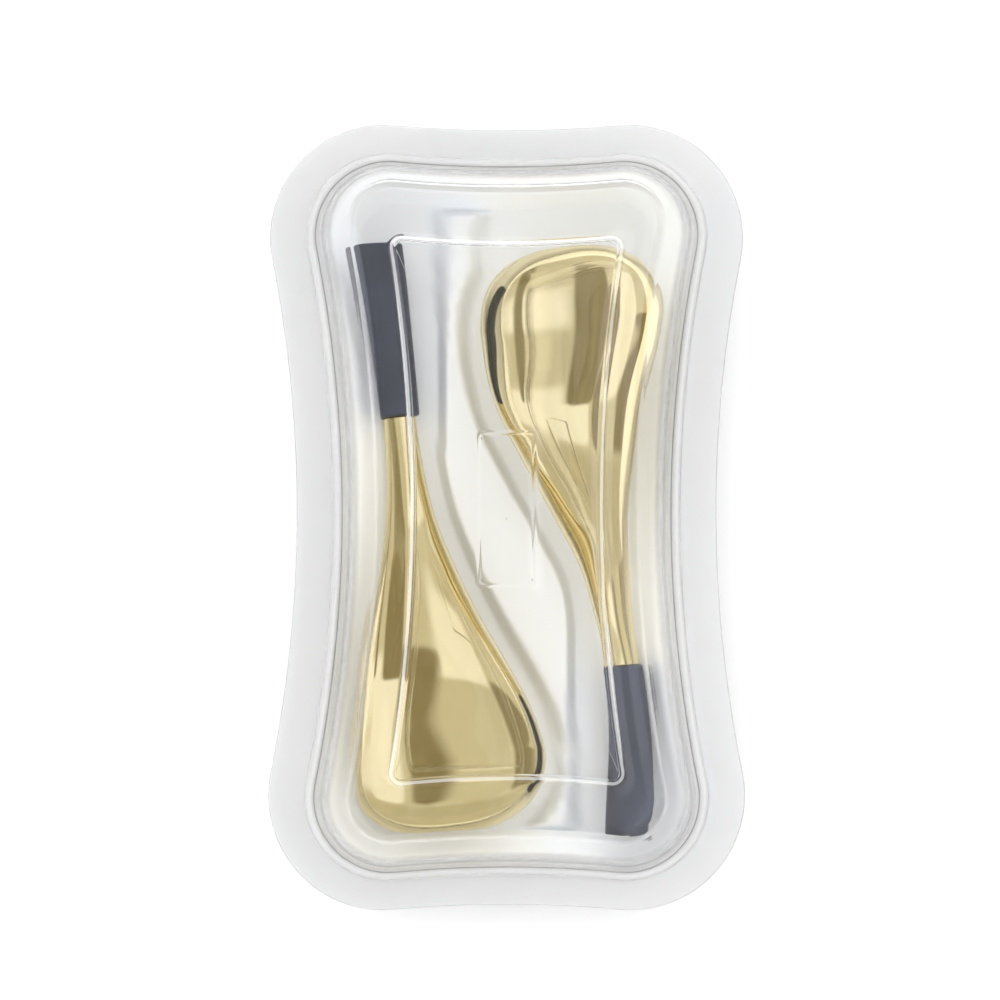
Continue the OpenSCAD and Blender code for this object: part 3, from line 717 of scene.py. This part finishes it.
def build_lights():
    """An even white studio, in which polished metal sees the soft cards, and a weak key light."""
    world = bpy.data.worlds.new("studio")
    bpy.context.scene.world = world
    world.use_nodes = True
    world.cycles.sampling_method = "NONE"
    tree = world.node_tree
    background = tree.nodes["Background"]
    coords = add(tree, "ShaderNodeTexCoord")
    split = add(tree, "ShaderNodeSeparateXYZ")
    tree.links.new(coords.outputs["Generated"], split.inputs["Vector"])
    # x and y of a mirror, lying flat and seen from above, that shows this direction: tilt over height
    up = maths(tree, "ADD", maths(tree, "MAXIMUM", split.outputs["Z"], -0.6), 1.0)
    tilt_x = maths(tree, "DIVIDE", split.outputs["X"], up)
    tilt_y = maths(tree, "DIVIDE", split.outputs["Y"], up)
    colour = SIDES
    for x, y, half_x, half_y, soft, tone in CARDS:
        out_x = maths(tree, "SUBTRACT", maths(tree, "ABSOLUTE", maths(tree, "SUBTRACT", tilt_x, x)), half_x)
        out_y = maths(tree, "SUBTRACT", maths(tree, "ABSOLUTE", maths(tree, "SUBTRACT", tilt_y, y)), half_y)
        edge = add(tree, "ShaderNodeMapRange", interpolation_type="SMOOTHSTEP")
        edge.inputs["From Min"].default_value = soft
        edge.inputs["From Max"].default_value = -soft
        tree.links.new(maths(tree, "SMOOTH_MAX", out_x, out_y, 0.12), edge.inputs["Value"])
        card = add(tree, "ShaderNodeMix", data_type="RGBA")
        tree.links.new(edge.outputs["Result"], card.inputs[0])
        if isinstance(colour, tuple):
            card.inputs[6].default_value = (*colour, 1)
        else:
            tree.links.new(colour, card.inputs[6])
        card.inputs[7].default_value = (*tone, 1)
        colour = card.outputs[2]
    light_path = add(tree, "ShaderNodeLightPath")
    lit = maths(tree, "MAXIMUM", maths(tree, "GREATER_THAN", light_path.outputs["Diffuse Depth"], 0.5),
                maths(tree, "LESS_THAN", light_path.outputs["Glossy Depth"], 0.5))
    mix = add(tree, "ShaderNodeMix", data_type="RGBA")
    tree.links.new(lit, mix.inputs[0])
    tree.links.new(colour, mix.inputs[6])
    tree.links.new(maths(tree, "MULTIPLY_ADD", split.outputs["Y"], SHADE * STUDIO, STUDIO), mix.inputs[7])
    tree.links.new(mix.outputs[2], background.inputs["Color"])
    data = bpy.data.lights.new("key", "AREA")
    data.size = 1.2
    data.energy = 6
    key = bpy.data.objects.new("key", data)
    bpy.context.scene.collection.objects.link(key)
    key.location = (-0.9, 0.9, 1.3)
    direction = -np.array(key.location)
    key.rotation_euler = Vector(direction).to_track_quat("-Z", "Y").to_euler()
    key.visible_glossy = False
    key.visible_transmission = False


def build_camera():
    """Looks down from just below the case's middle."""
    elevation = math.radians(86)
    target = Vector((-0.0019, 0.0046, 0.020))
    away = 1.4
    seen_w = 0.290
    back = Vector((0, -math.cos(elevation), math.sin(elevation)))
    data = bpy.data.cameras.new("camera")
    data.lens = data.sensor_width * away / seen_w
    camera = bpy.data.objects.new("camera", data)
    bpy.context.scene.collection.objects.link(camera)
    camera.location = target + back * away
    camera.rotation_euler = back.to_track_quat("Z", "Y").to_euler()
    bpy.context.scene.camera = camera


build_camera()
build_stage()
build_lights()
for tool_side in PLACES:
    build_tool(tool_side)
    for part, slot_name in (("coolant", "cooling_gel"), ("fill_plug", "plug_rubber"),
                            ("seal_ring", "seal_rubber"), ("tang", "steel")):
        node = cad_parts[f"{tool_side}_{part}"]
        node.data.materials.clear()
        node.data.materials.append(MATS[slot_name])
build_tray()
build_lid()

scene = bpy.context.scene
scene.view_settings.view_transform = "Standard"
scene.cycles.blur_glossy = 0.0
scene.cycles.max_bounces = 20
scene.cycles.transmission_bounces = 20
scene.cycles.diffuse_bounces = 6
